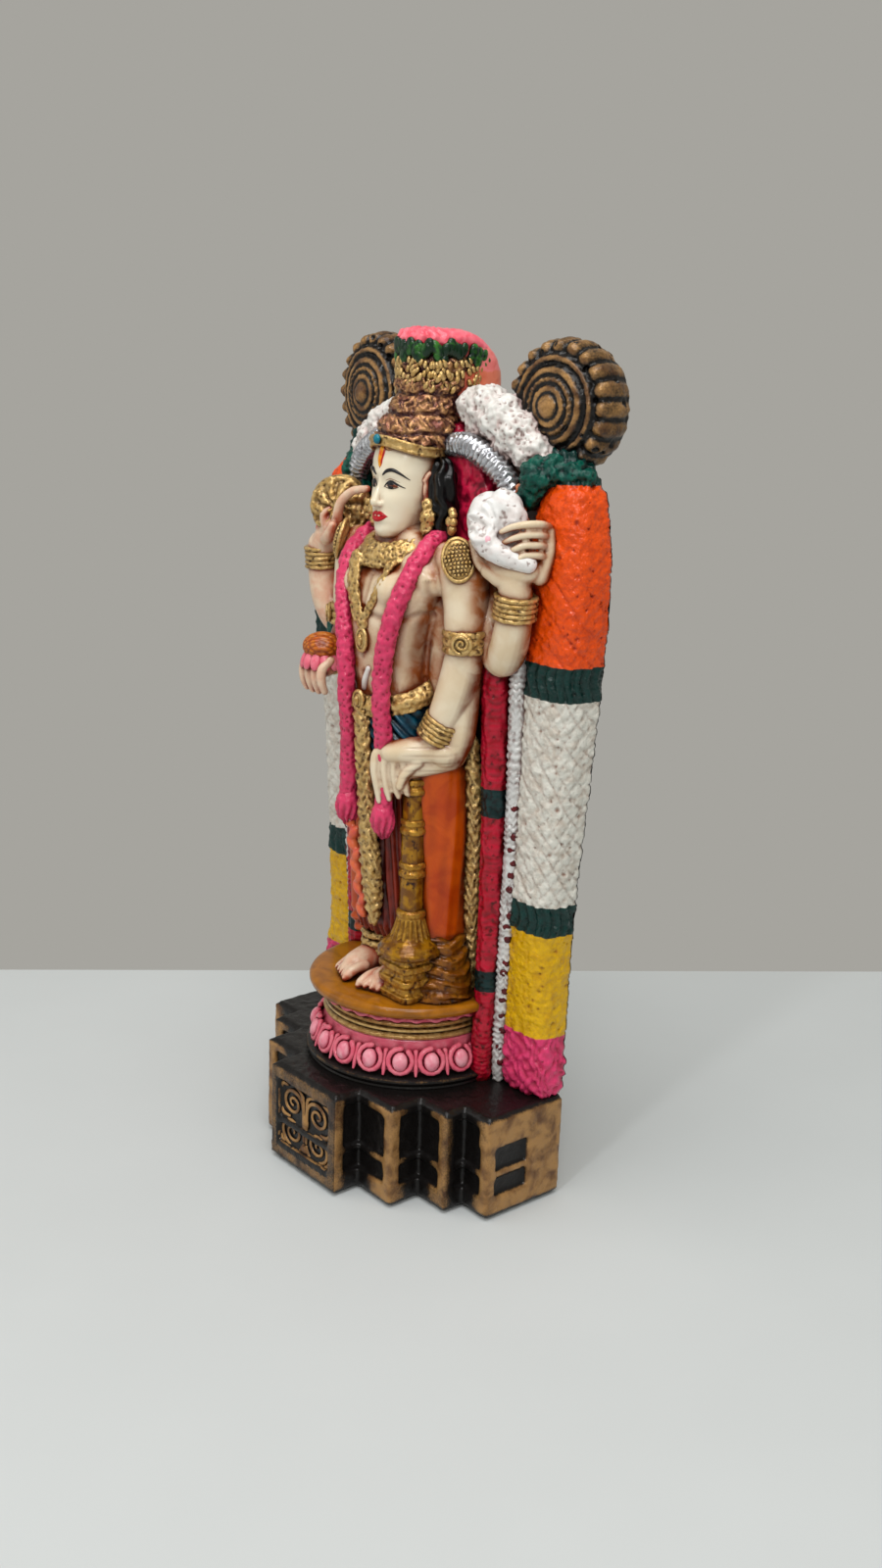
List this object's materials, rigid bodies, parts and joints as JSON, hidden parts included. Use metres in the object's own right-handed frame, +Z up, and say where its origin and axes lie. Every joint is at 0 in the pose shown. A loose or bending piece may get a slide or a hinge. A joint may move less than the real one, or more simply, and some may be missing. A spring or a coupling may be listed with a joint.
{
  "type": "vishnu figure",
  "caption": "Painted cast resin figure of standing Vishnu under a garlanded backing with rosettes, on a lotus pedestal and a stepped plinth.",
  "frame": {"origin": "middle of the whole object's footprint, on the plane that the plinth stands on", "axes": "+Z up, the figure faces -Y, its left hand is towards +X and the flat back faces +Y"},
  "size_m": [0.1112, 0.059, 0.23],
  "materials": {
    "painted_resin": "cast resin painted in ivory, pink, orange, white, yellow, green and gold, with a brown wash and a thin varnish; the plinth is black-brown with dry-brushed bronze edges"
  },
  "bodies": {
    "root": {"vishnu_figure": "painted_resin"}
  },
  "joints": []
}
